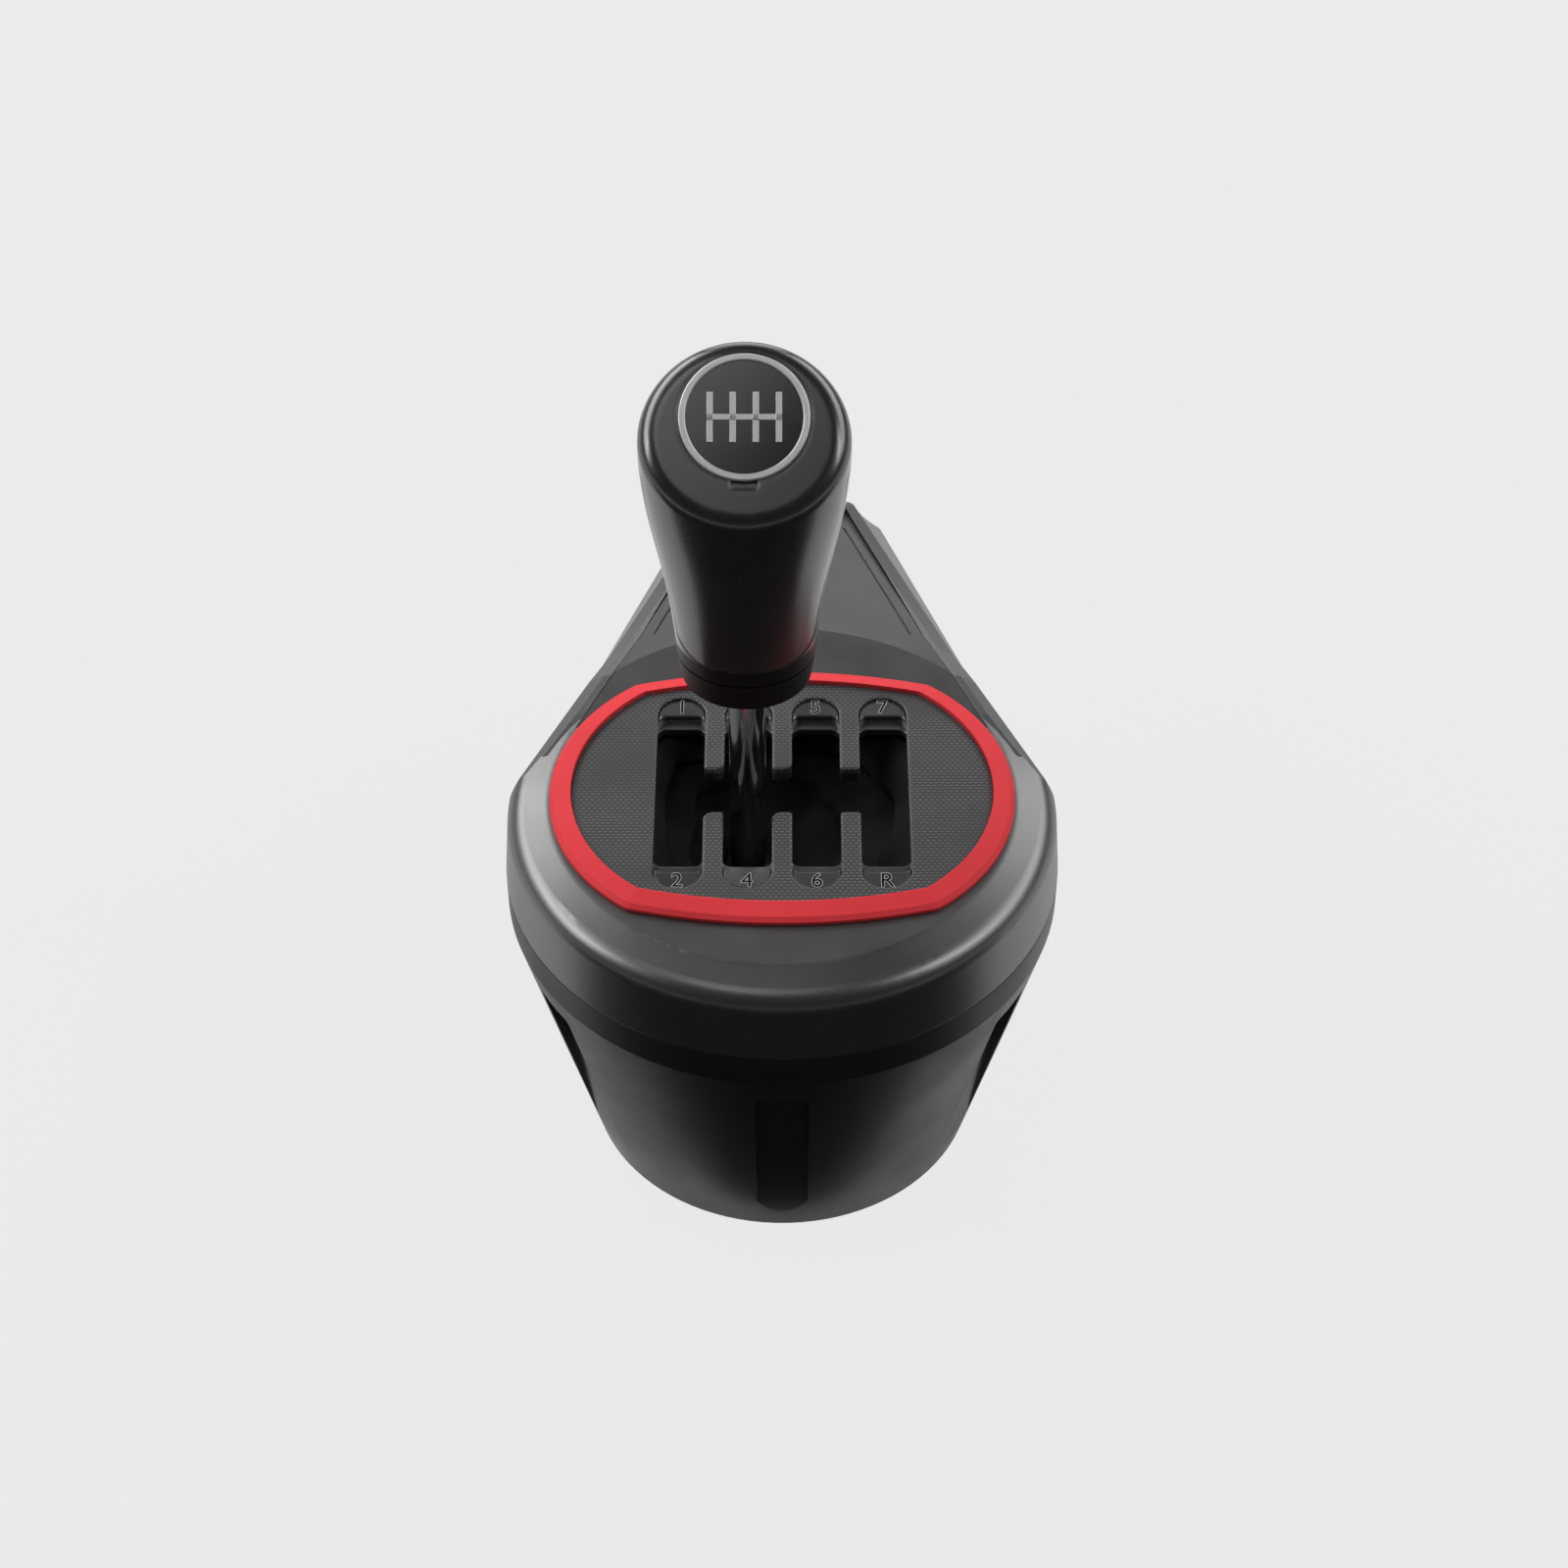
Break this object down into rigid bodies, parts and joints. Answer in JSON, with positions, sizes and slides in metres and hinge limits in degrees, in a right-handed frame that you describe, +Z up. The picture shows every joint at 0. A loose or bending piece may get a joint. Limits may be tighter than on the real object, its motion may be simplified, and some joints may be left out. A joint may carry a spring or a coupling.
{
  "type": "sim racing gear shifter",
  "caption": "Desk-clamped H-pattern gear shifter: tapered round housing with a tail, red gate trim, chromed rod and a tall tapered knob with a slanted face.",
  "frame": {"origin": "on the underside of the rubber foot, at the centre of the round bucket", "axes": "+X to the driver's right, +Y away from the driver towards the tail, +Z up"},
  "size_m": [0.1492, 0.2166, 0.2497],
  "materials": {
    "housing_plastic": "fine moulded grain, satin black",
    "panel_plastic": "satin black",
    "red_trim": "satin red",
    "gate_cover": "fine woven texture, dark grey",
    "gate_plastic": "satin black",
    "steel": "ground",
    "screw_steel": "blackened",
    "boot_cloth": "black woven cloth",
    "inner_plastic": "moulded black",
    "rubber": "matt black",
    "bush_brass": "plain",
    "bearing_plastic": "natural white",
    "chip": "moulded black",
    "board_laminate": "green solder mask",
    "socket_plastic": "moulded black",
    "clamp_steel": "black powder coat",
    "cast_aluminium": "as cast",
    "rod_chrome": "polished chrome",
    "knob_plastic": "satin black",
    "bezel_silver": "satin silver",
    "cap_gloss": "gloss black",
    "wheel_plastic": "moulded black"
  },
  "bodies": {
    "root": {"lower_housing": "housing_plastic", "upper_housing": "housing_plastic", "tail_panel": "panel_plastic", "trim_ring": "red_trim", "gate_plate": "gate_cover", "gate_insert": "gate_plastic", "gate_frame": "steel", "gate_screws": "screw_steel", "boot": "boot_cloth", "boot_retainer": "inner_plastic", "base_plate": "inner_plastic", "rubber_foot": "rubber", "base_screws": "screw_steel", "chassis": "inner_plastic", "chassis_screws": "screw_steel", "gimbal_bushes": "bush_brass", "centring_springs": "steel", "detent_cam": "bearing_plastic", "angle_sensor": "chip", "circuit_board": "board_laminate", "board_connector": "bearing_plastic", "board_screws": "screw_steel", "housing_screws": "screw_steel", "din_socket": "socket_plastic", "tail_pad": "rubber", "clamp_rail": "clamp_steel", "rail_screws": "screw_steel", "clamp_bush": "bearing_plastic"},
    "gimbal": {"gimbal_yoke": "cast_aluminium", "gimbal_pins": "steel", "centring_arm": "steel", "magnet_holder": "bearing_plastic", "tilt_magnet": "steel", "axle_bushes": "bush_brass", "sensor_cap": "inner_plastic"},
    "lever": {"lever_hub": "cast_aluminium", "fore_aft_axle": "steel", "lever_magnet": "steel", "rod_pin": "steel", "shift_rod": "rod_chrome", "detent_spring": "steel", "boot_collar": "inner_plastic", "knob_insert": "inner_plastic", "knob_collar": "knob_plastic", "knob_front_shell": "knob_plastic", "knob_rear_shell": "knob_plastic", "knob_bezel": "bezel_silver", "knob_cap": "cap_gloss"},
    "plunger": {"detent_plunger": "steel"},
    "jaw": {"clamp_jaw": "clamp_steel", "jaw_pad": "rubber"},
    "spindle": {"clamp_spindle": "clamp_steel", "spindle_collar": "clamp_steel", "clamp_wheel": "wheel_plastic"}
  },
  "joints": [
    {"name": "lateral_tilt", "type": "hinge", "parent": "root", "child": "gimbal", "pos_m": [-0.0091, 0, 0.03], "axis": [0, 1, 0], "range_deg": [-12.2, 23.5], "stiffness_Nm_per_rad": 2, "deforming": ["boot", "centring_springs"]},
    {"name": "fore_aft", "type": "hinge", "parent": "gimbal", "child": "lever", "pos_m": [-0.0091, 0, 0.03], "axis": [1, 0, 0], "range_deg": [-12.8, 12.8], "deforming": ["boot"]},
    {"name": "detent_slide", "type": "slide", "parent": "lever", "child": "plunger", "axis": [0, 0, 1], "range_m": [0, 0.002], "stiffness_N_per_m": 1500, "springref_m": -0.001, "deforming": ["detent_spring"]},
    {"name": "jaw_slide", "type": "slide", "parent": "root", "child": "jaw", "axis": [0, 0, 1], "range_m": [0, 0.042]},
    {"name": "spindle_spin", "type": "hinge", "parent": "root", "child": "spindle", "pos_m": [0, 0.075, 0], "axis": [0, 0, 1], "range_deg": [-1, 5041]}
  ],
  "couplings": [
    {"joint": "spindle_spin", "follows": "jaw_slide", "rad_per_m": 2094.4}
  ]
}
